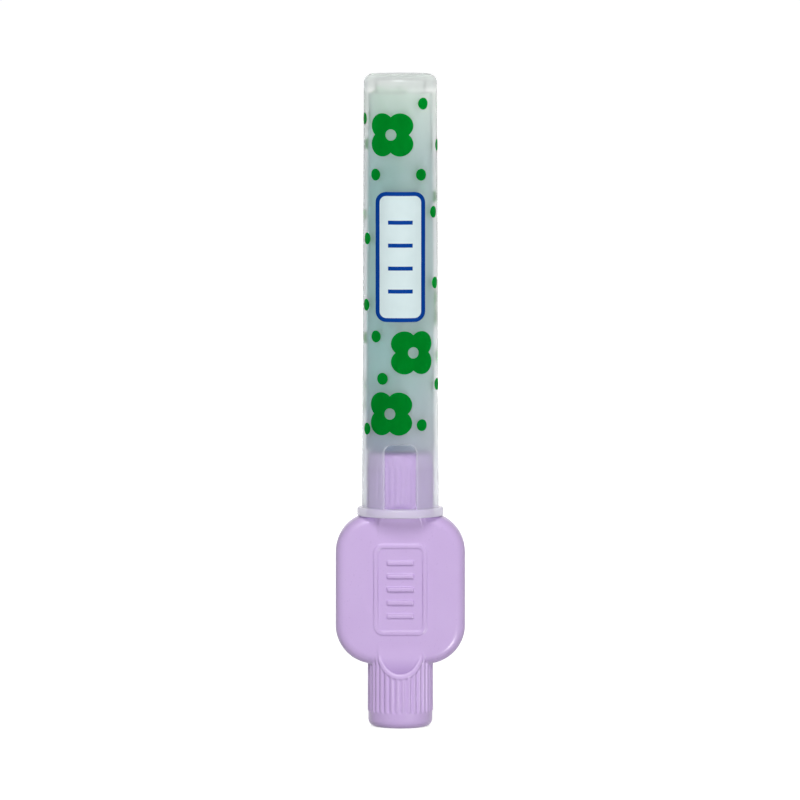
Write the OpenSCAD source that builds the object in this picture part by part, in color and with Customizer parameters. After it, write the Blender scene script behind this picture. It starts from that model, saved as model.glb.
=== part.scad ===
// Interdental brush: a twisted-wire brush set in a grip handle, under a push-on cap.
// +Z runs along the tool, from the free end of the handle to the closed end of the cap.
// The thumb plate faces -Y and +Y. The origin is the middle of the handle's free end.

/* [Handle] */
// Length of the handle from end to end
handle_l = 29.2; // [27:0.1:33]
// Width of the thumb plate
plate_w = 13.6; // [11:0.1:18]
// Length of the thumb plate along the tool
plate_l = 15.8; // [14:0.1:17]
// Thickness of the thumb plate
plate_t = 4.6; // [4:0.1:5.4]
// Radius of the thumb plate's corners
plate_corner_r = 4.1; // [2.5:0.1:5]
// Rounding of the thumb plate's edges
plate_edge_r = 1.1; // [0.4:0.1:1.6]
// How far the shoulders under the cap are faced off to seat its lip
seat_trim = 0.3; // [0.1:0.05:0.6]
// Radius of the two necks over their rib crests
neck_r = 3.43; // [3.1:0.01:3.8]
// Number of ribs round a neck
rib_count = 34; // [28:1:44]
// Radius of one rounded rib, whose crest stands at the neck's radius
rib_r = 0.46; // [0.4:0.01:0.6]
// Radius of the smooth band at each end of the handle
band_r = 3.36; // [2.9:0.01:3.4]
// Length of the smooth band, with its rounded end
band_l = 1.65; // [1:0.05:3]
// Rounding of the handle's two ends
end_round_r = 0.8; // [0.2:0.05:0.9]
// Radius of the scoops that run the plate's faces down onto the necks
scoop_r = 6.8; // [5:0.1:9]
// Length of the neck's flat between the two scoops on one face
scoop_flat_l = 10.9; // [9:0.1:12]
// Radius of the shallow thumb dish in each face of the plate
dish_r = 4.2; // [3:0.1:5]
// Depth of the thumb dish
dish_depth = 0.08; // [0.04:0.01:0.2]

/* [Grip frame] */
// Width of the raised frame on the front of the plate
frame_w = 5.6; // [4:0.1:7]
// Length of the raised frame along the tool
frame_l = 9.6; // [8:0.1:11]
// Radius of the frame's outer corners
frame_corner_r = 1; // [0.6:0.1:1.8]
// Width of the frame's line and of the bars in it
frame_line = 0.45; // [0.3:0.05:0.6]
// Height of the frame and bars over the plate's face
frame_raise = 0.12; // [0.05:0.01:0.3]
// Number of grip bars in the frame
bar_count = 5; // [2:1:6]
// Length of one grip bar
bar_l = 2.8; // [1.5:0.1:3]
// Spacing of the grip bars along the tool
bar_pitch = 1.4; // [1:0.1:1.5]

/* [Wire] */
// Diameter of the steel wire
wire_d = 0.33; // [0.25:0.01:0.4]
// Gap between the two twisted legs of the wire
wire_gap = 0.05; // [0.03:0.01:0.1]
// Length of one full twist of the two legs
twist_pitch = 2.4; // [2:0.1:4]
// Length of the wire from the handle to the folded tip
wire_free_l = 26.8; // [24:0.1:30]
// Depth of the socket that holds the wire in the handle
socket_depth = 8.5; // [5:0.1:12]
// Clearance round the twisted wire in the socket
socket_clearance = 0.02; // [0.01:0.01:0.05]

/* [Bristles] */
// Length of the bristled stretch
brush_l = 14; // [8:0.5:15]
// Diameter over the bristle tips
brush_d = 5; // [3:0.1:5.6]
// Length of wire that shows past the last bristles
tip_bare_l = 0.5; // [0.4:0.1:2]
// Diameter of one bristle
bristle_d = 0.09; // [0.06:0.01:0.11]
// Wall of the coating slice that the bristles are set in
coating_t = 0.06; // [0.05:0.01:0.1]

/* [Cap] */
// Length of the cap from its mouth to its closed end
cap_l = 46.4; // [44:0.1:50]
// Radius of the cap at its mouth end
cap_low_r = 4.08; // [4.05:0.01:4.4]
// Radius of the cap at its closed end
cap_top_r = 3.83; // [3.75:0.01:4]
// Rounding of the closed end
cap_corner_r = 0.9; // [0.3:0.1:1.2]
// Radius of the lip round the mouth
lip_r = 4.55; // [4.5:0.01:5.2]
// Height of the lip
lip_l = 0.93; // [0.6:0.01:1.5]
// Rounding of the lip's two outer edges
lip_edge_r = 0.15; // [0.05:0.05:0.25]
// Running clearance between the rib crests and the cap's bore
neck_clearance = 0.07; // [0.03:0.01:0.1]
// Gap between the lip and the handle's seat
seat_gap = 0.05; // [0.02:0.01:0.1]
// Radius of the bore where its long taper ends
bore_top_r = 3.25; // [3.1:0.01:3.3]
// Length of the straight bore past the end of the neck
bore_lead_l = 0.8; // [0.3:0.1:2]
// Radius of the narrow bore in the closed end
step_r = 2.55; // [2:0.05:2.8]
// Depth of the narrow bore
step_l = 1.4; // [0.8:0.1:2]
// Thickness of the closed end
end_wall = 0.6; // [0.5:0.05:1]
// Width of the thinned window in the cap's wall
window_w = 3.5; // [2.5:0.1:4.5]
// Height of the window above the lip
window_l = 6.8; // [5:0.1:8]
// Radius of the window's upper corners
window_corner_r = 0.9; // [0.4:0.1:1.2]
// Depth of the window
window_depth = 0.15; // [0.05:0.05:0.25]

/* [Prints] */
// Thickness of the printed ink
ink_t = 0.05; // [0.03:0.01:0.08]
// Width of the label over its border
label_w = 5.2; // [4:0.1:6]
// Length of the label over its border
label_l = 13.6; // [12:0.1:15]
// Radius of the label's outer corners
label_corner_r = 1.1; // [0.6:0.1:2]
// Width of the label's border line
label_line = 0.42; // [0.3:0.02:0.5]
// Number of plain bars on the label
label_bar_count = 4; // [2:1:5]
// Length of one label bar
label_bar_l = 2.6; // [2:0.1:3]
// Spacing of the label bars
label_bar_pitch = 2.4; // [1.5:0.1:2.4]
// Radius of one petal of the large flower
petal_r = 1.3; // [0.9:0.05:1.5]
// Distance of the petals' centres from the flower's centre
petal_reach = 1.35; // [1.1:0.05:1.5]
// Radius of the open eye of the flower
eye_r = 0.6; // [0.3:0.05:0.7]
// Radius of one small dot
dot_r = 0.62; // [0.3:0.02:0.8]

/* [Hidden] */
$fn = 64;
over = 1;
arc_steps = 8;

// The handle's middle, its seat, and the place of everything on the cap
handle_mid = handle_l / 2;
seat_z = handle_mid + plate_l / 2 - seat_trim;
cap_z = seat_z + seat_gap;
cap_top_z = cap_z + cap_l;
lip_z = cap_z + lip_l;

// The scoop floor lies a little under the plate's face, so the two cross cleanly
scoop_bury = 0.05;
// How far a raised frame or bar is rooted in the plate
frame_root = 0.4;
// How far the ribbed stretch runs into the smooth band
band_lap = 0.1;
// The circle that the centres of the rounded ribs stand on
rib_at = neck_r - rib_r;

// The twisted pair: the helix of its legs, the round space they fill, and the tip
leg_r = (wire_d + wire_gap) / 2;
pair_r = leg_r + wire_d / 2;
socket_r = pair_r + socket_clearance;
wire_tip_z = handle_l + wire_free_l;
fold_z = wire_tip_z - leg_r - wire_d / 2;
wire_end_z = handle_l - socket_depth + socket_clearance;
wire_sides = 6;
rings_a_turn = 8;
fold_step_a = 30;

// The bristles stand in two helical rows that follow the twist
brush_top_z = wire_tip_z - tip_bare_l;
brush_z = brush_top_z - brush_l;
coating_r = socket_r + coating_t;
bristle_root_r = coating_r - coating_t / 2;
bristle_step_share = 0.78;
bristle_step = bristle_d * bristle_step_share;
row_count = floor(brush_l / bristle_step);
bristle_sides = 3;

// The cap's bore, and the places of the prints along the cap and round it
bore_r = neck_r + neck_clearance;
bore_lead_z = handle_l + bore_lead_l;
step_z = cap_top_z - end_wall - step_l;
label_share = 0.59;
// Each place is an angle round the cap from its front, and a share of the cap's length from its mouth
flower_places_share = [[-15, 0.865], [20, 0.374], [-16, 0.236], [172, 0.76], [150, 0.47], [205, 0.27], [196, 0.915]];
dot_places_share = [[38, 0.935], [34, 0.775], [-42, 0.775], [-62, 0.63], [62, 0.69], [66, 0.53], [-64, 0.48],
                    [-40, 0.41], [-28, 0.315], [34, 0.21], [-60, 0.2], [72, 0.3], [-75, 0.9], [80, 0.84],
                    [112, 0.36], [118, 0.72], [-112, 0.68], [-118, 0.4], [-122, 0.84], [188, 0.6], [176, 0.36]];

// Points along an arc about a centre, from one angle to another
function arc(centre, r, from, to) =
    [for (i = [0:arc_steps])
        let (a = from + (to - from) * i / arc_steps)
        centre + r * [cos(a), sin(a)]];

// Outline of a rectangle with round corners, about the origin
function round_rect(w, l, r) = concat(
    arc([w / 2 - r, l / 2 - r], r, 0, 90),
    arc([r - w / 2, l / 2 - r], r, 90, 180),
    arc([r - w / 2, r - l / 2], r, 180, 270),
    arc([w / 2 - r, r - l / 2], r, 270, 360));

// One ring of a tube about a path point. Its corners are set from the Y axis, which no path follows.
function tube_ring(at, dir, r, sides) =
    let (along = dir / norm(dir))
    let (side = [0, 1, 0] - along[1] * along)
    let (u = side / norm(side))
    let (v = cross(along, u))
    [for (i = [0:sides - 1]) at + r * (cos(360 * i / sides) * u + sin(360 * i / sides) * v)];

// A closed tube of flat triangles along a path
module tube(path, r, sides) {
    last = len(path) - 1;
    points = [for (i = [0:last])
        let (dir = path[min(i + 1, last)] - path[max(i - 1, 0)])
        each tube_ring(path[i], dir, r, sides)];
    walls = [for (i = [0:last - 1]) for (k = [0:sides - 1])
        let (a = i * sides + k)
        let (b = i * sides + (k + 1) % sides)
        each [[a, a + sides, b], [b, a + sides, b + sides]]];
    start_cap = [for (k = [1:sides - 2]) [0, k, k + 1]];
    end_cap = [for (k = [1:sides - 2]) [last * sides, last * sides + k + 1, last * sides + k]];
    polyhedron(points, concat(walls, start_cap, end_cap));
}

// Half of the plate's section across an edge, from the line of the corner centres outwards
module edge_section() {
    flat = plate_corner_r - plate_edge_r;
    rise = plate_t / 2 - plate_edge_r;
    polygon(concat(
        [[0, -plate_t / 2]],
        arc([flat, -rise], plate_edge_r, -90, 0),
        arc([flat, rise], plate_edge_r, 0, 90),
        [[0, plate_t / 2]]));
}

// The plate lies flat here, with its length along Y: a core, four sides and four quarter-round corners
module flat_plate() {
    core_w = plate_w - 2 * plate_corner_r;
    core_l = plate_l - 2 * plate_corner_r;
    cube([core_w, core_l, plate_t], center = true);
    for (s = [0, 180]) rotate(s) {
        translate([core_w / 2, core_l / 2, 0]) rotate([90, 0, 0]) linear_extrude(core_l) edge_section();
        translate([-core_w / 2, core_l / 2, 0]) rotate([90, 0, 90]) linear_extrude(core_w) edge_section();
        translate([core_w / 2, core_l / 2, 0]) rotate_extrude(angle = 90) edge_section();
        translate([-core_w / 2, core_l / 2, 0]) rotate(90) rotate_extrude(angle = 90) edge_section();
    }
}

// The upright thumb plate, with its upper shoulders faced off for the cap's lip
module thumb_plate() {
    difference() {
        translate([0, 0, handle_mid]) rotate([90, 0, 0]) flat_plate();
        translate([-plate_w, -plate_w, seat_z]) cube([2 * plate_w, 2 * plate_w, over]);
    }
}

// Smooth end band of a neck, standing on its rounded end
module end_band() {
    rotate_extrude() polygon(concat(
        [[0, 0]],
        arc([band_r - end_round_r, end_round_r], end_round_r, -90, 0),
        [[band_r, band_l], [0, band_l]]));
}

// Ribbed round bar that runs through the plate and makes both necks
module ribbed_bar() {
    translate([0, 0, band_l - band_lap]) linear_extrude(handle_l - 2 * (band_l - band_lap)) union() {
        circle(rib_at);
        for (i = [0:rib_count - 1]) rotate(i * 360 / rib_count) translate([rib_at, 0]) circle(rib_r);
    }
    end_band();
    translate([0, 0, handle_l]) mirror([0, 0, 1]) end_band();
}

// Cutter for one face of the bar: flat along the plate, then curving out to each neck
module scoop() {
    floor_y = plate_t / 2 - scoop_bury;
    translate([-neck_r - over, 0, handle_mid]) rotate([90, 0, 90]) linear_extrude(2 * (neck_r + over)) polygon(concat(
        arc([floor_y + scoop_r, scoop_flat_l / 2], scoop_r, 90, 180),
        arc([floor_y + scoop_r, -scoop_flat_l / 2], scoop_r, 180, 270)));
}

// Cutter for the shallow round dish in one face of the plate, deepest in its middle
module dish() {
    translate([0, -plate_t / 2, handle_mid]) rotate([90, 0, 0]) rotate_extrude() polygon(concat(
        [for (i = [0:arc_steps]) let (share = i / arc_steps) [dish_r * share, dish_depth * (share * share - 1)]],
        [[dish_r, over], [0, over]]));
}

// Plain raised frame with a column of grip bars
module grip_frame() {
    translate([0, -plate_t / 2 + frame_root, handle_mid]) rotate([90, 0, 0]) linear_extrude(frame_root + frame_raise) {
        difference() {
            polygon(round_rect(frame_w, frame_l, frame_corner_r));
            polygon(round_rect(frame_w - 2 * frame_line, frame_l - 2 * frame_line, frame_corner_r - frame_line));
        }
        for (i = [0:bar_count - 1])
            translate([0, (i - (bar_count - 1) / 2) * bar_pitch]) square([bar_l, frame_line], center = true);
    }
}

module handle() {
    color("#c4aade") union() {
        difference() {
            union() {
                thumb_plate();
                difference() {
                    ribbed_bar();
                    scoop();
                    rotate(180) scoop();
                }
            }
            dish();
            rotate(180) dish();
            translate([0, 0, handle_l - socket_depth]) cylinder(r = socket_r, h = socket_depth + over);
        }
        grip_frame();
    }
}

// One leg of the twisted pair, from its cut end up to the fold
function leg_path(turn) =
    let (leg_l = fold_z - wire_end_z)
    let (rings = ceil(rings_a_turn * leg_l / twist_pitch))
    [for (i = [0:rings])
        let (z = wire_end_z + leg_l * i / rings)
        let (a = turn + 360 * (z - fold_z) / twist_pitch)
        [leg_r * cos(a), leg_r * sin(a), z]];

// One wire, folded in half at the tip, with its two legs twisted together
module core_wire() {
    up = leg_path(0);
    down = leg_path(180);
    fold = [for (a = [fold_step_a:fold_step_a:180 - fold_step_a]) [leg_r * cos(a), 0, fold_z + leg_r * sin(a)]];
    color("#b9bcc0") tube(concat(up, fold, [for (i = [len(down) - 1:-1:0]) down[i]]), wire_d / 2, wire_sides);
}

// The bristles, with the slice of the wire's coating that they are set in
module bristles() {
    color("#f4f4f0") union() {
        translate([0, 0, brush_z]) difference() {
            cylinder(r = coating_r, h = brush_l);
            translate([0, 0, -over]) cylinder(r = socket_r, h = brush_l + 2 * over);
        }
        for (i = [0:row_count - 1]) for (row = [0, 180])
            let (z = (i + 0.5) * brush_l / row_count)
            translate([0, 0, brush_z + z]) rotate(row + 360 * z / twist_pitch)
                tube([[bristle_root_r, 0, 0], [brush_d / 2, 0, 0]], bristle_d / 2, bristle_sides);
    }
}

// The cap's outer radius at a height, and the wall's cone over its whole length, grown by some amount
function cap_r_at(z) = cap_low_r + (cap_top_r - cap_low_r) * (z - cap_z) / cap_l;

module cap_cone(grow) {
    translate([0, 0, cap_z]) cylinder(r1 = cap_low_r + grow, r2 = cap_top_r + grow, h = cap_l);
}

// Extrudes an outline that lies on the cap's front, turned round the cap by an angle
module on_cap(turn, z) {
    rotate(turn) translate([0, 0, z]) rotate([90, 0, 0]) linear_extrude(lip_r + over) children();
}

module cap_outside() {
    corner_z = cap_top_z - cap_corner_r;
    rotate_extrude() polygon(concat(
        [[0, cap_z]],
        arc([lip_r - lip_edge_r, cap_z + lip_edge_r], lip_edge_r, -90, 0),
        arc([lip_r - lip_edge_r, lip_z - lip_edge_r], lip_edge_r, 0, 90),
        [[cap_r_at(lip_z), lip_z]],
        arc([cap_r_at(corner_z) - cap_corner_r, corner_z], cap_corner_r, 0, 90),
        [[0, cap_top_z]]));
}

module cap_bore() {
    translate([0, 0, cap_z - over]) cylinder(r = bore_r, h = bore_lead_z - cap_z + over);
    translate([0, 0, bore_lead_z]) cylinder(r1 = bore_r, r2 = bore_top_r, h = step_z - bore_lead_z);
    translate([0, 0, step_z]) cylinder(r = step_r, h = step_l);
}

// Thinned window above the lip, round-cornered at its top, with a floor that follows the wall
module window() {
    difference() {
        on_cap(0, lip_z) polygon(concat(
            [[-window_w / 2, 0], [window_w / 2, 0]],
            arc([window_w / 2 - window_corner_r, window_l - window_corner_r], window_corner_r, 0, 90),
            arc([window_corner_r - window_w / 2, window_l - window_corner_r], window_corner_r, 90, 180)));
        cap_cone(-window_depth);
    }
}

module cap() {
    color("#b9c8cb", 0.5) difference() {
        cap_outside();
        cap_bore();
        window();
        rotate(180) window();
    }
}

// Ink on the cap's wall, in the shape of the outlines given
module ink() {
    intersection() {
        difference() {
            cap_cone(ink_t);
            cap_cone(0);
        }
        union() children();
    }
}

label_z = cap_z + cap_l * label_share;

module label_bars() {
    for (i = [0:label_bar_count - 1])
        translate([0, (i - (label_bar_count - 1) / 2) * label_bar_pitch])
            square([label_bar_l, label_line], center = true);
}

module label_inside() {
    polygon(round_rect(label_w - 2 * label_line, label_l - 2 * label_line, label_corner_r - label_line));
}

module label_panel() {
    color("#c8dee2") ink() on_cap(0, label_z) difference() {
        label_inside();
        label_bars();
    }
}

module label_lines() {
    color("#0a3c96") ink() on_cap(0, label_z) {
        difference() {
            polygon(round_rect(label_w, label_l, label_corner_r));
            label_inside();
        }
        label_bars();
    }
}

// Four round petals about an open eye
module flower() {
    difference() {
        union() for (a = [45:90:315]) rotate(a) translate([petal_reach, 0]) circle(petal_r);
        circle(eye_r);
    }
}

module flower_print() {
    color("#008a2e") ink() {
        for (p = flower_places_share) on_cap(p[0], cap_z + cap_l * p[1]) flower();
        for (p = dot_places_share) on_cap(p[0], cap_z + cap_l * p[1]) circle(dot_r);
    }
}

handle();
core_wire();
bristles();
cap();
label_panel();
label_lines();
flower_print();
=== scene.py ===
import math

import bmesh
import bpy
import numpy as np
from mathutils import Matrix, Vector


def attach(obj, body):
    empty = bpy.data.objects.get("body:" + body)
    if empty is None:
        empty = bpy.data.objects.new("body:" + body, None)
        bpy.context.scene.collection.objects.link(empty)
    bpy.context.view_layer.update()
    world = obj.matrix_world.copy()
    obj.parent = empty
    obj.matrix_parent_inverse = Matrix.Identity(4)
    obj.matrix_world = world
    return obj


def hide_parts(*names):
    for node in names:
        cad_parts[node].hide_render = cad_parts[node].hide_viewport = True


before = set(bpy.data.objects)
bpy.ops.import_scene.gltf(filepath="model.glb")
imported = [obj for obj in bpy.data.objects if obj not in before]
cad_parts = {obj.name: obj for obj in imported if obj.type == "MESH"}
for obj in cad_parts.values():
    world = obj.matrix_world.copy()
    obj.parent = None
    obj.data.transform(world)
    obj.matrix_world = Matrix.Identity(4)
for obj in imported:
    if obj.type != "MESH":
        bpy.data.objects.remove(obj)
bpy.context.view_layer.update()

MM = 0.001

# Camera: a long lens a little above the tool, square to the front of the thumb plate.
# The picture is 84 mm wide at the tool's axis, and the tool's free end stands near its foot.
camera_tilt = math.radians(4.1)
camera_distance = 933.3 * MM
camera_aim = Vector((0, 0, 34.39 * MM))
camera_aside = -0.00004

camera_data = bpy.data.cameras.new("camera")
camera_data.lens = 400
camera_data.sensor_width = 36
camera_data.clip_start = 0.05
camera_data.clip_end = 20
camera = bpy.data.objects.new("camera", camera_data)
towards_camera = Vector((camera_aside, -math.cos(camera_tilt), math.sin(camera_tilt)))
camera.location = camera_aim + camera_distance * towards_camera
camera.rotation_euler = (math.pi / 2 - camera_tilt, 0, 0)
bpy.context.scene.collection.objects.link(camera)
bpy.context.scene.camera = camera
bpy.context.scene.view_settings.view_transform = "Standard"


# Studio: a white laminate table in a white room, under soft lamps that give a plain level.
# The white that the camera sees is the table's and the room's own, a little lower beside the tool,
# so that its soft shadow shows.
def linear(hex_colour):
    """The linear red, green, blue and alpha of an sRGB hex colour."""
    parts = [int(hex_colour[i:i + 2], 16) / 255 for i in (1, 3, 5)]
    return [p / 12.92 if p <= 0.04045 else ((p + 0.055) / 1.055) ** 2.4 for p in parts] + [1]


def add(tree, kind, inputs=None, **settings):
    """Adds a node, and gives its inputs a value or a link from another node's output."""
    node = tree.nodes.new(kind)
    for name, value in settings.items():
        setattr(node, name, value)
    for name, value in (inputs or {}).items():
        if isinstance(value, bpy.types.NodeSocket):
            tree.links.new(value, node.inputs[name])
        else:
            node.inputs[name].default_value = value
    return node


def calc(tree, operation, *values):
    """The result of a sum on values or other nodes' outputs."""
    return add(tree, "ShaderNodeMath", dict(enumerate(values)), operation=operation).outputs[0]


def fade(tree, value, low, high, start=0.0, end=1.0):
    """A value that goes from start to end while another goes from low to high."""
    return add(tree, "ShaderNodeMapRange", {0: value, 1: low, 2: high, 3: start, 4: end}).outputs[0]


def seen_directly(tree):
    """1 for rays that show the room: from the camera, in a gloss and through the cap."""
    rays = add(tree, "ShaderNodeLightPath")
    both = calc(tree, "MAXIMUM", rays.outputs["Is Camera Ray"], rays.outputs["Is Glossy Ray"])
    return calc(tree, "MAXIMUM", both, rays.outputs["Is Transmission Ray"])


room_level = 0.11
room = bpy.data.worlds.new("white_room")
room.use_nodes = True
tree = room.node_tree
tree.nodes.clear()
soft = add(tree, "ShaderNodeBackground", {"Color": linear("#f4f6ff"), "Strength": room_level})
white = add(tree, "ShaderNodeBackground", {"Color": linear("#ffffff"), "Strength": 1})
mixed = add(tree, "ShaderNodeMixShader", {0: seen_directly(tree), 1: soft.outputs[0], 2: white.outputs[0]})
add(tree, "ShaderNodeOutputWorld", {"Surface": mixed.outputs[0]})
bpy.context.scene.world = room

floor_half = 4
beside_tool = 0.02
far_off = 0.3
white_beside = 0.78
white_far_off = 0.96
floor_mesh = bpy.data.meshes.new("floor")
floor_mesh.from_pydata([(x, y, 0) for x, y in ((-floor_half, -floor_half), (floor_half, -floor_half),
                                               (floor_half, floor_half), (-floor_half, floor_half))],
                       [], [(0, 1, 2, 3)])
floor = bpy.data.objects.new("floor", floor_mesh)
bpy.context.scene.collection.objects.link(floor)
table = bpy.data.materials.new("white_matt_laminate")
table.use_nodes = True
tree = table.node_tree
tree.nodes.clear()
matt = add(tree, "ShaderNodeBsdfDiffuse", {"Color": linear("#bcbcbc")})
place = add(tree, "ShaderNodeTexCoord").outputs["Object"]
away = add(tree, "ShaderNodeVectorMath", {0: place}, operation="LENGTH").outputs["Value"]
level = fade(tree, away, beside_tool, far_off, white_beside, white_far_off)
level = calc(tree, "MULTIPLY", seen_directly(tree), level)
white = add(tree, "ShaderNodeEmission", {"Color": linear("#ffffff"), "Strength": level})
both = add(tree, "ShaderNodeAddShader", {0: matt.outputs[0], 1: white.outputs[0]})
add(tree, "ShaderNodeOutputMaterial", {"Surface": both.outputs[0]})
floor_mesh.materials.append(table)

# Each lamp: its name, place in metres, width, height and power in watts. The key light is high in front,
# so that the lip's shadow falls on the plate, and the fill is low on the right. The table glow is the
# light that the table throws back, and shows only as gloss on the edges that face down.
for name, place, width, height, power in (
        ("key_softbox", (-0.06, -0.53, 0.48), 0.38, 0.32, 2.9),
        ("fill_softbox", (0.28, -0.96, 0.09), 0.40, 0.16, 3.85),
        ("back_softbox", (0.05, 0.60, 0.46), 0.30, 0.20, 2.7),
        ("table_glow", (0.014, -0.019, 0.0005), 0.005, 0.005, 0.0065)):
    lamp_data = bpy.data.lights.new(name, "AREA")
    lamp_data.shape = "RECTANGLE"
    lamp_data.size = width
    lamp_data.size_y = height
    lamp_data.energy = power
    lamp = bpy.data.objects.new(name, lamp_data)
    lamp.location = place
    aim = Vector((0, 0, 1)) if name == "table_glow" else camera_aim - Vector(place)
    lamp.rotation_euler = aim.to_track_quat("-Z", "Y").to_euler()
    lamp.visible_camera = False
    lamp.visible_transmission = False
    lamp.visible_diffuse = name != "table_glow"
    lamp.visible_glossy = name in ("key_softbox", "table_glow")
    bpy.context.scene.collection.objects.link(lamp)

# Handle: one injection moulding in lilac polypropylene, with a flat thumb plate between two necks.
# Every edge has the small rounding that the mould leaves, so the skin is drawn from a distance field
# of the solid's own shapes, and the ribs are then pressed out of the necks.
handle_l = 29.2
handle_mid = handle_l / 2

# The plate, its faced-off top that carries the cap's lip, and its joints with the necks
plate_half = (6.8, 2.3, 7.9)
plate_corner_r = 4.1
plate_edge_r = 1.1
seat_z = 22.2
seat_edge_r = 0.15
face_joint_r = 0.02
shoulder_joint_r = 0.28

# The necks, and the scoops that lead down into them from the plate's faces
band_r = 3.36
band_l = 1.6
end_round_r = 0.8
scoop_r = 6.8
scoop_at = (9.1, 5.45)
scoop_edge_r = 0.12
neck_sunk = 0.25
neck_sunk_fade = 0.3

# The bead round a scoop, which begins where the scoop leaves the plate
bead_at = 3.33
bead_r = 0.12
bead_proud = 0.03
bead_low = 6.9
bead_fade = 0.6
bead_off = 0.5

# The thumb dish, and the raised frame and grip bars on the front
dish_r = 4.2
dish_depth = 0.14
frame_half = (2.8, 4.8)
frame_corner_r = 1.0
frame_line = 0.45
frame_top_y = 2.42
frame_foot_y = 1.8
frame_foot_r = 0.05
frame_joint_r = 0.1
bar_half = (1.4, 0.225)
bar_corner_r = 0.1
bar_pitch = 1.4
bar_count = 5

# The socket for the wire, and the rounding of fine edges
socket_r = 0.375
socket_z = 20.7
fine_edge_r = 0.08


def soft_min(a, b, k):
    """The lesser of two distances, with their crossing rounded over a width of about k."""
    near = np.maximum(k - np.abs(a - b), 0) / k
    return np.minimum(a, b) - near * near * k / 4


def soft_max(a, b, k):
    """The greater of two distances, with their crossing rounded."""
    return -soft_min(-a, -b, k)


def corner_distance(u, v, r):
    """Distance to a round corner, from the distances past its two straight sides."""
    return np.hypot(np.maximum(u + r, 0), np.maximum(v + r, 0)) + np.minimum(np.maximum(u + r, v + r), 0) - r


def scoop_distance(y, z):
    """Distance to the scoop that leads from the plate's face down into a neck, below 0 in its hollow."""
    past_flat = np.maximum(np.abs(z - handle_mid) - scoop_at[1], 0)
    return np.hypot(np.abs(y) - scoop_at[0], past_flat) - scoop_r


def handle_distance(x, y, z):
    """Distance in mm to the handle's skin, below 0 inside."""
    up = z - handle_mid
    depth = np.abs(y)
    outline = corner_distance(np.abs(x) - plate_half[0], np.abs(up) - plate_half[2], plate_corner_r)
    sunk = dish_depth * np.maximum(1 - (x * x + up * up) / dish_r ** 2, 0)
    plate = corner_distance(outline, depth - plate_half[1] + sunk, plate_edge_r)
    plate = soft_max(plate, z - seat_z, seat_edge_r)
    neck = corner_distance(np.hypot(x, y) - band_r, np.abs(up) - handle_mid, end_round_r)
    under_face = neck_sunk * np.clip((scoop_at[1] - np.abs(up)) / neck_sunk_fade, 0, 1)
    scoop = scoop_distance(y, z)
    neck = soft_max(neck, -scoop + under_face, scoop_edge_r)
    beyond = np.clip((np.abs(up) - bead_low) / bead_fade, 0, 1)
    bead = np.hypot(np.hypot(x, y) - bead_at, scoop - bead_proud) - bead_r * beyond
    neck = soft_min(neck, bead + bead_off * (beyond == 0), fine_edge_r)
    body = soft_min(plate, neck, face_joint_r + shoulder_joint_r * beyond)
    border = corner_distance(np.abs(x) - frame_half[0], np.abs(up) - frame_half[1], frame_corner_r)
    border = np.abs(border + frame_line / 2) - frame_line / 2
    row = np.clip(np.round(up / bar_pitch), -(bar_count // 2), bar_count // 2) * bar_pitch
    bars = corner_distance(np.abs(x) - bar_half[0], np.abs(up - row) - bar_half[1], bar_corner_r)
    raised = soft_max(np.minimum(border, bars), -y - frame_top_y, fine_edge_r)
    raised = soft_max(raised, y + frame_foot_y, frame_foot_r)
    body = soft_min(body, raised, frame_joint_r)
    socket = np.maximum(np.hypot(x, y) - socket_r, socket_z - z)
    return soft_max(body, -socket, fine_edge_r)


def skin_of(distance, low, high, step):
    """Corners and four-sided faces of the surface where a distance field is 0."""
    axes = [np.arange(a, b + step, step) for a, b in zip(low, high)]
    field = distance(*np.meshgrid(*axes, indexing="ij"))
    cells = [len(a) - 1 for a in axes]
    total = np.zeros(cells + [3])
    count = np.zeros(cells)
    crossings = []
    for axis in range(3):
        u, v = (axis + 1) % 3, (axis + 2) % 3
        near = field.take(range(cells[axis]), axis)
        far = field.take(range(1, cells[axis] + 1), axis)
        hit = (near < 0) != (far < 0)
        share = np.where(hit, near / np.where(hit, near - far, 1), 0)
        for du in (0, 1):
            for dv in (0, 1):
                part = [slice(None)] * 3
                part[u] = slice(du, du + cells[u])
                part[v] = slice(dv, dv + cells[v])
                part = tuple(part)
                count += hit[part]
                total[..., axis] += share[part]
                total[..., u] += hit[part] * du
                total[..., v] += hit[part] * dv
        crossings.append((hit, near < 0))
    used = count > 0
    number = np.full(cells, -1)
    number[used] = np.arange(used.sum())
    index = np.argwhere(used)
    points = (index + total[used] / count[used][:, None]) * step + np.array(low)
    faces = []
    for axis, (hit, outward) in enumerate(crossings):
        u, v = (axis + 1) % 3, (axis + 2) % 3
        at = np.argwhere(hit)
        at = at[(at[:, u] > 0) & (at[:, v] > 0) & (at[:, u] < cells[u]) & (at[:, v] < cells[v])]
        ring = []
        for du, dv in ((1, 1), (0, 1), (0, 0), (1, 0)):
            cell = at.copy()
            cell[:, u] -= du
            cell[:, v] -= dv
            ring.append(number[tuple(cell.T)])
        ring = np.stack(ring, 1)
        turned = ~outward[tuple(at.T)]
        ring[turned] = ring[turned][:, ::-1]
        faces.append(ring)
    # The corners are then moved onto the surface itself, along the field's slope
    reach = 0.02
    for _ in range(4):
        value = distance(*points.T)
        slope = np.stack([distance(*(points + reach * e).T) - distance(*(points - reach * e).T)
                          for e in np.eye(3)], 1) / (2 * reach)
        move = -value[:, None] * slope / np.maximum((slope ** 2).sum(1), 0.2)[:, None]
        points += np.clip(move, -step / 2, step / 2)
    return points, np.concatenate(faces)


def add_piece(name, mesh):
    """Puts a mesh in the scene as a piece that sits at the origin."""
    piece = bpy.data.objects.new(name, mesh)
    bpy.context.scene.collection.objects.link(piece)
    return piece


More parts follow.
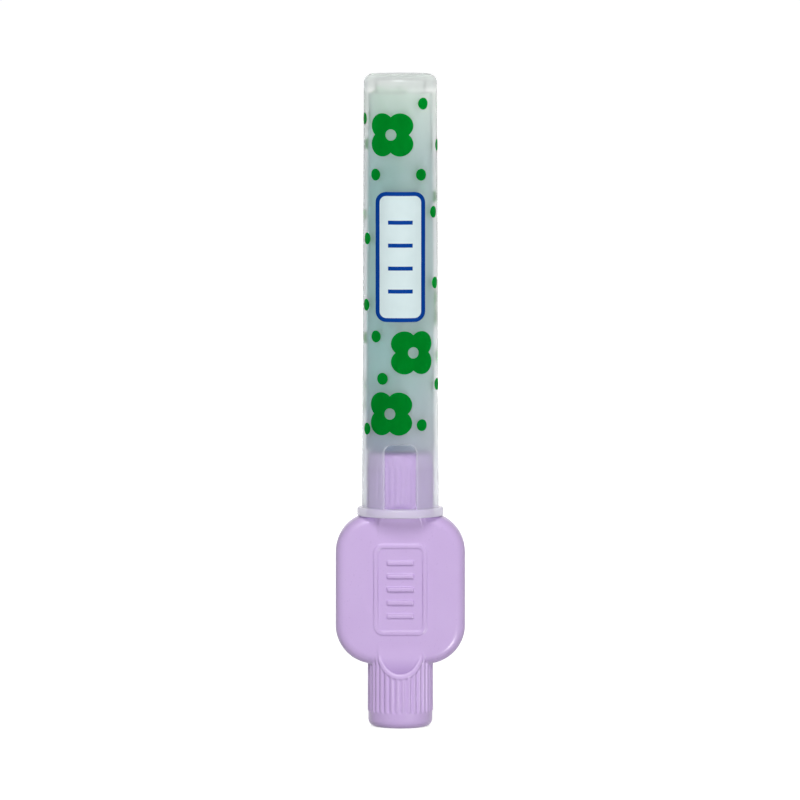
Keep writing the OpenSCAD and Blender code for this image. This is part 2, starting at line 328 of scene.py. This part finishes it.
def run_nodes(piece, tree, **values):
    """Runs a Geometry Nodes tree on a piece, and keeps what it makes as the piece's plain mesh."""
    nodes = piece.modifiers.new("nodes", "NODES")
    nodes.node_group = tree
    for socket in tree.interface.items_tree:
        key = socket.name.replace(" ", "_")
        if key in values:
            nodes[socket.identifier] = values[key]
    held = piece.evaluated_get(bpy.context.evaluated_depsgraph_get())
    mesh = bpy.data.meshes.new_from_object(held)
    mesh.name = piece.name
    made = add_piece(piece.name + "_made", mesh)
    name = piece.name
    bpy.data.objects.remove(piece)
    made.name = name
    return made


def new_tree(name, inputs):
    """A Geometry Nodes tree with a geometry input and named inputs. Returns the tree and its inputs."""
    tree = bpy.data.node_groups.new(name, "GeometryNodeTree")
    tree.interface.new_socket("Geometry", in_out="INPUT", socket_type="NodeSocketGeometry")
    for label, kind, value in inputs:
        socket = tree.interface.new_socket(label, in_out="INPUT", socket_type="NodeSocket" + kind)
        if value is not None:
            socket.default_value = value
    tree.interface.new_socket("Geometry", in_out="OUTPUT", socket_type="NodeSocketGeometry")
    return tree, tree.nodes.new("NodeGroupInput").outputs


def end_tree(tree, geometry, material):
    """Ends a Geometry Nodes tree: what it made as real meshes, in their material."""
    whole = add(tree, "GeometryNodeRealizeInstances", {0: geometry})
    dressed = add(tree, "GeometryNodeSetMaterial", {"Geometry": whole.outputs[0], "Material": material})
    add(tree, "NodeGroupOutput", {0: dressed.outputs[0]})


def new_material(name):
    """An empty node material, with its tree and its object coordinates."""
    material = bpy.data.materials.new(name)
    material.use_nodes = True
    material.node_tree.nodes.clear()
    place = add(material.node_tree, "ShaderNodeTexCoord").outputs["Object"]
    return material, material.node_tree, place


def surface(tree, inputs):
    """Ends a material with a Principled shader."""
    shader = add(tree, "ShaderNodeBsdfPrincipled", inputs)
    add(tree, "ShaderNodeOutputMaterial", {"Surface": shader.outputs[0]})


def blend(tree, share, *colours):
    """A colour between two, each an sRGB hex colour or another node's output."""
    first, second = [linear(c) if isinstance(c, str) else c for c in colours]
    return add(tree, "ShaderNodeMix", {0: share, 6: first, 7: second}, data_type="RGBA").outputs[2]


def noise(tree, place, size, detail):
    """Soft noise, with spots of a size in mm."""
    return add(tree, "ShaderNodeTexNoise", {
        "Vector": place, "Scale": 1 / (size * MM), "Detail": detail}).outputs[0]


# Polypropylene, moulded satin: soft broad highlights, a very slight cloudiness in the colour, and the
# fine grain of a spark-eroded mould, drawn at 0.25 mm so that it shows. The scoop below the plate is matt,
# and its colour there is darkened towards the crease as a painted shade.
lilac_pp, tree, place = new_material("moulded_lilac_polypropylene")
cloud = noise(tree, place, 5, 3)
tint = blend(tree, cloud, "#c3a8d8", "#c9b1de")
matt_and_painted_shade_floor = add(tree, "ShaderNodeAttribute", attribute_name="scoop_floor").outputs["Fac"]
# A painted shade: the lower scoop's floor is darker towards the crease
tint = blend(tree, matt_and_painted_shade_floor, tint, "#ab90c4")
grain = noise(tree, place, 0.25, 2)
gloss = fade(tree, grain, 0.3, 0.7, 0.27, 0.37)
gloss = fade(tree, matt_and_painted_shade_floor, 0.0, 1.0, gloss, 0.85)
bump = add(tree, "ShaderNodeBump", {"Height": grain, "Strength": 0.25, "Distance": 0.012 * MM})
surface(tree, {
    "Base Color": tint, "Roughness": gloss, "Normal": bump.outputs[0], "IOR": 1.49,
    "Subsurface Weight": 0.12, "Subsurface Radius": (1.0, 0.8, 1.1), "Subsurface Scale": 0.8 * MM})

# The ribs: rounded, with a third of their depth proud of the neck's wall. They fade out at the smooth
# end bands, in the scoops, which lie further in than the wall, and on the plate, which stands further out.
rib_count = 34
rib_depth = 0.21
rib_sunk = 0.667
band_fade = 0.15
scoop_fade = (-0.12, -0.04)
plate_fade = (0.14, 0.03)
ribs, given = new_tree("neck_ribs", [
    ("Rib count", "Float", rib_count), ("Rib depth", "Float", rib_depth * MM),
    ("Neck radius", "Float", band_r * MM), ("Half length", "Float", 0.0), ("Band length", "Float", 0.0),
    ("Middle height", "Float", 0.0), ("Material", "Material", None)])
place = add(ribs, "GeometryNodeInputPosition").outputs[0]
parts = add(ribs, "ShaderNodeSeparateXYZ", {0: place}).outputs
flat = add(ribs, "ShaderNodeCombineXYZ", {0: parts[0], 1: parts[1], 2: 0.0}).outputs[0]
radius = add(ribs, "ShaderNodeVectorMath", {0: flat}, operation="LENGTH").outputs["Value"]
outwards = add(ribs, "ShaderNodeVectorMath", {0: flat}, operation="NORMALIZE").outputs[0]
angle = calc(ribs, "ARCTAN2", parts[1], parts[0])
half_count = calc(ribs, "MULTIPLY", given["Rib count"], 0.5)
phase = calc(ribs, "MULTIPLY", angle, half_count)
wave = calc(ribs, "COSINE", phase)
crest = calc(ribs, "ABSOLUTE", wave)
rise = calc(ribs, "SUBTRACT", crest, rib_sunk)
height = calc(ribs, "SUBTRACT", parts[2], given["Middle height"])
height = calc(ribs, "ABSOLUTE", height)
ribbed_l = calc(ribs, "SUBTRACT", given["Half length"], given["Band length"])
to_band = calc(ribs, "SUBTRACT", ribbed_l, height)
on_ribs = fade(ribs, to_band, 0.0, band_fade * MM)
proud = calc(ribs, "SUBTRACT", radius, given["Neck radius"])
on_neck = fade(ribs, proud, scoop_fade[0] * MM, scoop_fade[1] * MM)
off_plate = fade(ribs, proud, plate_fade[0] * MM, plate_fade[1] * MM)
share = calc(ribs, "MULTIPLY", on_ribs, on_neck)
share = calc(ribs, "MULTIPLY", share, off_plate)
off_bead = add(ribs, "GeometryNodeInputNamedAttribute", {"Name": "rib_share"}, data_type="FLOAT")
share = calc(ribs, "MULTIPLY", share, off_bead.outputs[0])
amount = calc(ribs, "MULTIPLY", share, rise)
amount = calc(ribs, "MULTIPLY", amount, given["Rib depth"])
offset = add(ribs, "ShaderNodeVectorMath", {0: outwards, "Scale": amount}, operation="SCALE").outputs[0]
moved = add(ribs, "GeometryNodeSetPosition", {"Geometry": given["Geometry"], "Offset": offset})
end_tree(ribs, moved.outputs[0], given["Material"])

# The skin, and on it the places without ribs and the matt floor of the scoop below the plate, which also
# carries the painted shade
grid_step = 0.11
margin = 2.5 * grid_step
skin_half_y = 3.4
bead_clear = 0.14
floor_skin = 0.1
floor_skin_fade = 0.06
floor_low = 1.1
floor_fade = 2.3
floor_side_fade = 0.16
low_corner = (-plate_half[0] - margin, -skin_half_y - margin, -margin)
high_corner = (plate_half[0] + margin, skin_half_y + margin, handle_l + margin)
points, faces = skin_of(handle_distance, low_corner, high_corner, grid_step)
mesh = bpy.data.meshes.new("handle_skin")
mesh.from_pydata((points * MM).tolist(), [], faces.tolist())
mesh.polygons.foreach_set("use_smooth", [True] * len(mesh.polygons))
scoop = scoop_distance(points[:, 1], points[:, 2])
rib_share = np.clip((scoop - bead_clear) / bead_clear, 0, 1)
past = np.abs(points[:, 2] - handle_mid) - scoop_at[1]
# The lower scoop's floor, where it is matt and carries the painted shade, most towards the crease
floor_share = np.clip((floor_skin - np.abs(scoop)) / floor_skin_fade, 0, 1)
floor_share *= np.clip((past - floor_low) / floor_fade, 0, 1)
floor_share *= np.clip((band_r - np.hypot(points[:, 0], points[:, 1])) / floor_side_fade, 0, 1)
floor_share *= points[:, 2] < handle_mid
mesh.attributes.new("scoop_floor", "FLOAT", "POINT").data.foreach_set("value", floor_share)
mesh.attributes.new("rib_share", "FLOAT", "POINT").data.foreach_set("value", rib_share)
handle = run_nodes(add_piece("handle_moulding", mesh), ribs, Half_length=handle_mid * MM,
                   Middle_height=handle_mid * MM, Band_length=band_l * MM, Material=lilac_pp)
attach(handle, "handle")
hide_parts("handle")

# Core wire: one length of stainless wire folded in half at the tip, with its two legs twisted together.
# A thin nylon coat, shrunk on hot, leaves it pale and softly shiny. Its cut ends sit in the handle.
wire_r = 0.165
leg_r = 0.19
twist_pitch = 2.4
fold_z = 55.645
wire_end_z = 20.72
wire_sides = 12
turn_steps = 16
fold_steps = 9

coated_steel, tree, place = new_material("drawn_stainless_steel_nylon_coated")
drawn = noise(tree, place, 0.12, 2)
gloss = fade(tree, drawn, 0.3, 0.7, 0.26, 0.4)
tint = blend(tree, drawn, "#aeb1b6", "#cfd2d6")
surface(tree, {
    "Base Color": tint, "Roughness": gloss, "Metallic": 0.75, "Coat Weight": 0.8,
    "Coat Roughness": 0.2})


def leg_points(turn):
    """Points of one leg of the twisted pair, from its cut end up to the fold."""
    steps = round((fold_z - wire_end_z) / twist_pitch * turn_steps)
    heights = [wire_end_z + (fold_z - wire_end_z) * i / steps for i in range(steps + 1)]
    angles = [turn + 2 * math.pi * (z - fold_z) / twist_pitch for z in heights]
    return [(leg_r * math.cos(a), leg_r * math.sin(a), z) for a, z in zip(angles, heights)]


fold_angles = np.linspace(0, math.pi, fold_steps + 1)[1:-1]
fold = [(leg_r * math.cos(a), 0, fold_z + leg_r * math.sin(a)) for a in fold_angles]
route = leg_points(0) + fold + leg_points(math.pi)[::-1]
route_data = bpy.data.curves.new("wire_route", "CURVE")
route_data.dimensions = "3D"
spline = route_data.splines.new("POLY")
spline.points.add(len(route) - 1)
spline.points.foreach_set("co", [c for p in route for c in (p[0] * MM, p[1] * MM, p[2] * MM, 1)])

sweep, given = new_tree("wire_sweep", [("Wire radius", "Float", 0.0), ("Sides", "Int", wire_sides),
                                       ("Material", "Material", None)])
ring = add(sweep, "GeometryNodeCurvePrimitiveCircle", {"Resolution": given["Sides"],
                                                       "Radius": given["Wire radius"]})
swept = add(sweep, "GeometryNodeCurveToMesh", {"Curve": given["Geometry"], "Profile Curve": ring.outputs[0],
                                               "Fill Caps": True})
smooth = add(sweep, "GeometryNodeSetShadeSmooth", {"Geometry": swept.outputs[0]})
end_tree(sweep, smooth.outputs[0], given["Material"])

wire = run_nodes(add_piece("twisted_core_wire", route_data), sweep, Wire_radius=wire_r * MM,
                 Sides=wire_sides, Material=coated_steel)
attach(wire, "handle")
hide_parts("core_wire")

# Bristles: nylon filaments laid across the wire before it is twisted, so that each one passes between
# the two legs and the twist fans them into two spiral rows. They are then trimmed to a cylinder.
brush_z = 41.5
brush_l = 14.0
brush_r = 2.5
filament_r = 0.032
filament_count = 640
filament_points = 5
filament_sides = 5
end_gap = 0.1
fan_half = 0.22
lean_half = 0.07
shortest = 0.975

nylon, tree, place = new_material("extruded_nylon_filament")
streak = noise(tree, place, 0.4, 1)
tint = blend(tree, streak, "#e4e7e6", "#f8f9f7")
gloss = fade(tree, streak, 0.3, 0.7, 0.3, 0.45)
surface(tree, {
    "Base Color": tint, "Roughness": gloss, "IOR": 1.53, "Subsurface Weight": 0.2,
    "Subsurface Radius": (1, 1, 1), "Subsurface Scale": 0.1 * MM})

rows, given = new_tree("filament_rows", [
    ("Count", "Int", 1), ("Foot height", "Float", 0.0), ("Brush length", "Float", 0.0),
    ("Brush radius", "Float", 0.0), ("Filament radius", "Float", 0.0), ("Twist pitch", "Float", 0.0),
    ("First angle", "Float", 0.0), ("Seed", "Int", 7), ("Material", "Material", None)])
last = calc(rows, "SUBTRACT", given["Count"], 1.0)
pitch = calc(rows, "DIVIDE", given["Brush length"], last)
first = add(rows, "ShaderNodeCombineXYZ", {2: given["Foot height"]}).outputs[0]
stride = add(rows, "ShaderNodeCombineXYZ", {2: pitch}).outputs[0]
line = add(rows, "GeometryNodeMeshLine", {"Count": given["Count"], "Start Location": first, "Offset": stride})
index = add(rows, "GeometryNodeInputIndex").outputs[0]
climbed = calc(rows, "MULTIPLY", index, pitch)
turns = calc(rows, "DIVIDE", climbed, given["Twist pitch"])
angle = calc(rows, "MULTIPLY_ADD", turns, 2 * math.pi, given["First angle"])
fan, lean, reach = [
    add(rows, "FunctionNodeRandomValue", {2: low, 3: high, "ID": index, "Seed": seed}).outputs[1]
    for low, high, seed in ((-fan_half, fan_half, given["Seed"]), (-lean_half, lean_half, 11),
                            (shortest, 1.0, 23))]
heading = calc(rows, "ADD", angle, fan)
turned = add(rows, "ShaderNodeCombineXYZ", {0: 0.0, 1: lean, 2: heading}).outputs[0]
stretched = add(rows, "ShaderNodeCombineXYZ", {0: reach, 1: 1.0, 2: 1.0}).outputs[0]
left = calc(rows, "MULTIPLY", given["Brush radius"], -1.0)
from_tip = add(rows, "ShaderNodeCombineXYZ", {0: left}).outputs[0]
to_tip = add(rows, "ShaderNodeCombineXYZ", {0: given["Brush radius"]}).outputs[0]
axis = add(rows, "GeometryNodeCurvePrimitiveLine", {"Start": from_tip, "End": to_tip}).outputs[0]
axis = add(rows, "GeometryNodeResampleCurve", {"Curve": axis, "Count": filament_points}).outputs[0]
ring = add(rows, "GeometryNodeCurvePrimitiveCircle", {"Resolution": filament_sides,
                                                      "Radius": given["Filament radius"]})
filament = add(rows, "GeometryNodeCurveToMesh", {"Curve": axis, "Profile Curve": ring.outputs[0],
                                                 "Fill Caps": True}).outputs[0]
filament = add(rows, "GeometryNodeSetShadeSmooth", {"Geometry": filament}).outputs[0]
spread = add(rows, "GeometryNodeInstanceOnPoints", {"Points": line.outputs[0], "Instance": filament,
                                                    "Rotation": turned, "Scale": stretched})
end_tree(rows, spread.outputs[0], given["Material"])

between_legs = math.pi / 2 + 2 * math.pi * (brush_z + end_gap - fold_z) / twist_pitch
bristles = run_nodes(add_piece("nylon_bristles", bpy.data.meshes.new("filament_seed")), rows,
                     Count=filament_count, Foot_height=(brush_z + end_gap) * MM,
                     Brush_length=(brush_l - 2 * end_gap) * MM, Brush_radius=brush_r * MM,
                     Filament_radius=filament_r * MM, Twist_pitch=twist_pitch * MM, First_angle=between_legs,
                     Seed=7, Material=nylon)
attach(bristles, "handle")
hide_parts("bristles")

# Cap: one injection moulding in natural polypropylene, pushed over the upper neck down to the plate.
# Its wall is a section turned about the tool's axis, with two shallow windows pressed in above the lip.

# The wall, the lip and the mouth
cap_z = 22.25
cap_top_z = 68.65
cap_low_r = 4.08
cap_top_r = 3.83
lip_r = 4.55
lip_z = 23.18
lip_edge_r = 0.15
lip_top_r = 0.3
lip_foot = (0.06, 0.015)
mouth_edge_r = 0.08
cap_corner_r = 0.9
sharp_angle = math.radians(40)

# The bore, with a narrower end above a step
bore_r = 3.5
bore_lead_z = 30.0
bore_top_r = 3.25
step_z = 66.65
step_r = 2.55
bore_mid_z = 67.4
bore_end_z = 68.05
bore_end_r = 0.2
step_edge_r = 0.12
step_corner_r = 0.1

# The windows, one in front and one behind
window_half = 1.75
window_top_z = 29.98
window_corner_r = 0.9
window_depth = 0.15
window_slope = 0.06
window_rim = 0.14


def cap_r_at(z):
    """The outer radius of the cap's wall at a height."""
    return cap_low_r + (cap_top_r - cap_low_r) * (z - cap_z) / (cap_top_z - cap_z)


def arc(centre, r, start, stop, steps):
    """Points of an arc in a section, from one angle to another, in degrees."""
    angles = [math.radians(start + (stop - start) * i / steps) for i in range(steps + 1)]
    return [(centre[0] + r * math.cos(a), centre[1] + r * math.sin(a)) for a in angles]


def window_share(x, z):
    """Two shares: 1 on the window's floor and 0 on the wall about it, and 1 on the edge between them."""
    past = corner_distance(np.abs(x) - window_half, z - window_top_z, window_corner_r)
    share = np.clip(0.5 - past / (2 * window_slope), 0, 1)
    return share * share * (3 - 2 * share), np.clip(1 - np.abs(past) / window_rim, 0, 1)


# Rings of corners: close together round the windows' tops and on every rounded edge
wall_heights = [lip_z + 0.05, 23.5, 24.5, 25.5, 26.5, 27.5, 28.4]
wall_heights += list(np.arange(28.8, 30.2, 0.05))
wall_heights += list(np.arange(31, cap_top_z - cap_corner_r - 0.1, 1.5))
corner_z = cap_top_z - cap_corner_r
outer = arc((bore_r + mouth_edge_r, cap_z + mouth_edge_r), mouth_edge_r, 180, 270, 3)
outer += arc((lip_r - lip_edge_r, cap_z + lip_edge_r), lip_edge_r, -90, 0, 6)
outer += arc((lip_r - lip_top_r, lip_z - lip_top_r), lip_top_r, 0, 90, 8)
outer += [(cap_r_at(lip_z) + lip_foot[0], lip_z), (cap_r_at(lip_z) + lip_foot[1], lip_z + lip_foot[1])]
outer += [(cap_r_at(z), z) for z in wall_heights]
outer += arc((cap_r_at(corner_z) - cap_corner_r, corner_z), cap_corner_r, 0, 90, 12)
outer += [(2.0, cap_top_z), (1.0, cap_top_z)]
inner = [(1.0, bore_end_z), (2.0, bore_end_z)]
inner += arc((step_r - bore_end_r, bore_end_z - bore_end_r), bore_end_r, 90, 0, 4)
inner += [(step_r, bore_mid_z)]
inner += arc((step_r + step_edge_r, step_z + step_edge_r), step_edge_r, 180, 270, 3)
inner += arc((bore_top_r - step_corner_r, step_z - step_corner_r), step_corner_r, 90, 0, 3)
inner += [(bore_top_r + (bore_r - bore_top_r) * (step_z - z) / (step_z - bore_lead_z), z)
          for z in np.arange(66, bore_lead_z, -1.5)]
inner += [(bore_r, z) for z in (30, 29, 28, 27, 26, 25, 24, 23)]

# Columns of corners, in degrees from the front: close together at the windows' sides. The windows press in
# the rings from the lip's foot up, and the lip itself stays round.
window_angle = math.degrees(math.asin(window_half / cap_r_at(26)))
fine = list(np.arange(11, window_angle + 2, 0.7))
angles = [0, 4, 8] + fine + list(np.arange(fine[-1] + 3, 90, 3))
angles = {round(b, 4) for a in angles for b in (a % 360, -a % 360, (180 + a) % 360, (180 - a) % 360)}
columns = np.radians(sorted(angles))
vertices = []
window = []
for i, (r, z) in enumerate(outer + inner):
    shares = np.zeros((len(columns), 2))
    if i < len(outer) and r < lip_r - lip_top_r and lip_z <= z <= window_top_z + 0.3:
        shares = np.stack(window_share(r * np.sin(columns), z), 1)
        r = r - (window_depth + max(0, r - cap_r_at(z))) * shares[:, 0]
    window.append(shares)
    vertices += [(a, b, z) for a, b in zip(r * np.sin(columns), -r * np.cos(columns))]

# The rings are joined in order, the last one to the first at the mouth, and a disc ends each wall above
around = len(columns)
rings = len(outer) + len(inner)
faces = []
for i in range(rings):
    if i == len(outer) - 1:
        continue
    below, above = i * around, (i + 1) % rings * around
    faces += [(below + k, below + (k + 1) % around, above + (k + 1) % around, above + k)
              for k in range(around)]
end_disc = len(faces)
faces.append([(len(outer) - 1) * around + k for k in range(around)])
faces.append([len(outer) * around + k for k in range(around)][::-1])
mesh = bpy.data.meshes.new("cap_wall")
mesh.from_pydata([(x * MM, y * MM, z * MM) for x, y, z in vertices], [], faces)
mesh.polygons.foreach_set("use_smooth", [True] * len(mesh.polygons))
mesh.set_sharp_from_angle(angle=sharp_angle)
for name, column in (("window", 0), ("window_rim", 1)):
    mesh.attributes.new(name, "FLOAT", "POINT").data.foreach_set("value", np.concatenate(window)[:, column])


def height_ramp(tree, height, stops):
    """A colour and an alpha that change with height, from stops of a height in mm, a colour and an alpha."""
    low, high = 20, 70
    ramp = add(tree, "ShaderNodeValToRGB", {0: fade(tree, height, low * MM, high * MM)})
    elements = ramp.color_ramp.elements
    for i, (z, colour, alpha) in enumerate(stops):
        at = (z - low) / (high - low)
        element = elements[i] if i < 2 else elements.new(at)
        element.position = at
        element.color = linear(colour)[:3] + [alpha]
    return ramp.outputs


# Natural polypropylene, moulded matt: milky where light passes both walls, with a soft gloss on top.
# The windows are polished, so that the neck shows clearly, and their rims and the lip are milkier; the
# rims are also whiter, a painted highlight.
outer_pp, tree, place = new_material("moulded_natural_polypropylene")
across, _, height = add(tree, "ShaderNodeSeparateXYZ", {0: place}).outputs
polished = add(tree, "ShaderNodeAttribute", attribute_name="window").outputs["Fac"]
rim = add(tree, "ShaderNodeAttribute", attribute_name="window_rim").outputs["Fac"]
rim = calc(tree, "MULTIPLY", rim, 0.55)
on_lip = fade(tree, height, (lip_z + 0.04) * MM, (lip_z - 0.02) * MM)
over_neck = fade(tree, height, (handle_l + 0.3) * MM, (handle_l - 0.3) * MM)
milky = calc(tree, "MAXIMUM", on_lip, rim)

# Colour: slightly green up the wall, with a pale band at the step of the bore that is painted light, and a
# darker flat top that is painted shade. The left side is greyer, also a painted shade.
# Painted light in the pale band at 66.9 mm, and painted shade on the flat top at 68.6 mm
ramp = height_ramp(tree, height, ((29.0, "#d6dadf", 1), (29.6, "#d4d8d9", 1), (60.0, "#d4d8d9", 1),
                                  (66.5, "#e3e9e4", 1), (66.9, "#f8faf8", 1), (67.4, "#d4dad7", 1),
                                  (68.3, "#d4dad7", 1), (68.6, "#bcc3bf", 1)))
uneven = calc(tree, "MULTIPLY", noise(tree, place, 6, 3), 0.1)
tint = blend(tree, uneven, ramp[0], "#ffffff")
# A painted shade: the wall greys towards the left side
left_side_painted_shade = fade(tree, across, -3.25 * MM, -3.85 * MM, 0.0, 0.8)
# The rims' whiter colour here is a painted highlight
for share, colour in ((left_side_painted_shade, "#b1b8be"), (polished, "#d6dadd"), (rim, "#f0f0f6"), (on_lip, "#ece8f6")):
    tint = blend(tree, share, tint, colour)

# Light: most passes in the windows, less beside the neck and least in the milky parts. A share of the
# windows over the neck, and a little of the wall beside it, is plainly seen through.
passed = fade(tree, over_neck, 0.0, 1.0, 0.86, 0.72)
passed = calc(tree, "MAXIMUM", passed, polished)
passed = fade(tree, milky, 0.0, 1.0, passed, 0.45)
beside_neck = fade(tree, height, 28.6 * MM, 27.2 * MM, 0.0, 0.14)
in_window = fade(tree, over_neck, 0.0, 1.0, 0.0, 0.6)
clear = fade(tree, polished, 0.0, 1.0, beside_neck, in_window)
clear = calc(tree, "MULTIPLY", clear, calc(tree, "SUBTRACT", 1.0, milky))
solid = calc(tree, "SUBTRACT", 1.0, clear)

# Finish: a fine grain under a soft gloss, which the flat end has hardly any of
end_face = fade(tree, height, (cap_top_z - 0.15) * MM, (cap_top_z - 0.03) * MM)
gloss = fade(tree, polished, 0.0, 1.0, 0.6, 0.2)
coat = fade(tree, end_face, 0.0, 1.0, 1.0, 0.2)
relief = fade(tree, end_face, 0.0, 1.0, 0.2, 0.0)
grain = noise(tree, place, 0.2, 2)
bump = add(tree, "ShaderNodeBump", {"Height": grain, "Strength": relief, "Distance": 0.01 * MM})
surface(tree, {
    "Base Color": tint, "Roughness": gloss, "Normal": bump.outputs[0], "IOR": 1.05,
    "Transmission Weight": passed, "Alpha": solid, "Coat Weight": coat, "Coat Roughness": 0.13,
    "Coat IOR": 1.49})
mesh.materials.append(outer_pp)

# The bore was formed by a matt core, which makes the cap milky: greyish about the neck, and darkest just
# above the neck's end as a painted shade, blue-green about the brush, and clearing above the step. It is
# lighter towards the right, a painted light.
bore_pp, tree, place = new_material("matt_bore_natural_polypropylene")
across, _, height = add(tree, "ShaderNodeSeparateXYZ", {0: place}).outputs
# The grey-blue at 29.4 mm, just above the neck's end, is a painted shade
ramp = height_ramp(tree, height, ((28.9, "#f2f0f8", 1.0), (29.4, "#9aa7c0", 0.0), (31.5, "#a4b8c6", 0.0),
                                  (37.0, "#9fd3d0", 0.0), (57.0, "#9fd3d0", 0.0), (66.6, "#e4f0ec", 0.0),
                                  (67.2, "#ffffff", 0.5), (67.8, "#ffffff", 1.0)))
uneven = fade(tree, noise(tree, place, 4, 3), 0.3, 0.7, 0.0, 0.1)
# A painted light: the bore pales towards the right side
right_side_painted_light = fade(tree, across, -1.0 * MM, 3.5 * MM, 0.0, 0.42)
tint = blend(tree, calc(tree, "ADD", uneven, right_side_painted_light), ramp[0], "#ffffff")
passed = fade(tree, ramp[1], 0.0, 1.0, 0.38, 0.95)
solid = fade(tree, ramp[1], 0.0, 1.0, 1.0, 0.3)
surface(tree, {
    "Base Color": tint, "Roughness": 0.9, "IOR": 1.1, "Transmission Weight": passed, "Alpha": solid})
mesh.materials.append(bore_pp)
bore_faces = [p.index >= (len(outer) - 1) * around and p.index != end_disc for p in mesh.polygons]
mesh.polygons.foreach_set("material_index", [int(b) for b in bore_faces])

cap = add_piece("frosted_cap", mesh)
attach(cap, "cap")
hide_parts("cap")

# Prints: pad-printed ink on the cap, a pale ground with a blue border and bars, and green flowers.
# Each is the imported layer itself, cut at every 4 degrees so that it lies round on the wall.
ink_over = 0.03
ink_under = 0.012
print_cuts = 45
weld = 0.002
flat_angle = math.radians(0.5)


def printed(name, node, material):
    """The piece for one ink layer: a merged copy of its solid, fitted to the cap's wall."""
    work = bmesh.new()
    work.from_mesh(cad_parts[node].data)
    bmesh.ops.remove_doubles(work, verts=work.verts, dist=weld * MM)
    level = work.verts.layers.float.new("level")
    for v in work.verts:
        outside = math.hypot(v.co.x, v.co.y) / MM > cap_r_at(v.co.z / MM) + ink_over / 2
        v[level] = ink_over if outside else -ink_under
    bmesh.ops.dissolve_limit(work, angle_limit=flat_angle, verts=work.verts, edges=work.edges)
    for turn in np.linspace(0, math.pi, print_cuts, endpoint=False):
        bmesh.ops.bisect_plane(work, geom=work.verts[:] + work.edges[:] + work.faces[:], dist=weld * MM,
                               plane_co=(0, 0, 0), plane_no=(math.cos(turn), math.sin(turn), 0))
    bmesh.ops.remove_doubles(work, verts=work.verts, dist=weld * MM)
    for v in work.verts:
        grown = (cap_r_at(v.co.z / MM) + v[level]) * MM / math.hypot(v.co.x, v.co.y)
        v.co.x *= grown
        v.co.y *= grown
    work.verts.layers.float.remove(level)
    layer = bpy.data.meshes.new(name)
    work.to_mesh(layer)
    work.free()
    layer.polygons.foreach_set("use_smooth", [True] * len(layer.polygons))
    layer.set_sharp_from_angle(angle=sharp_angle)
    layer.materials.append(material)
    piece = add_piece(name, layer)
    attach(piece, "cap")
    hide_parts(node)


def ink(name, deep, light, passed):
    """Cured pad-printing ink: thin, softly glossy, a little uneven where the pad laid it down."""
    material, tree, place = new_material(name)
    laid = noise(tree, place, 1.5, 4)
    tint = blend(tree, laid, deep, light)
    gloss = fade(tree, laid, 0.3, 0.7, 0.32, 0.45)
    surface(tree, {"Base Color": tint, "Roughness": gloss, "IOR": 1.05, "Transmission Weight": passed})
    return material


printed("label_ground", "label_panel", ink("pad_print_pale_blue_ink", "#cbdcdd", "#d7e7e8", 0.0))
printed("label_border_and_bars", "label_lines", ink("pad_print_blue_ink", "#083a88", "#0d4096", 0.0))
printed("flower_and_dot_print", "flower_print", ink("pad_print_green_ink", "#00a534", "#00b33c", 0.75))
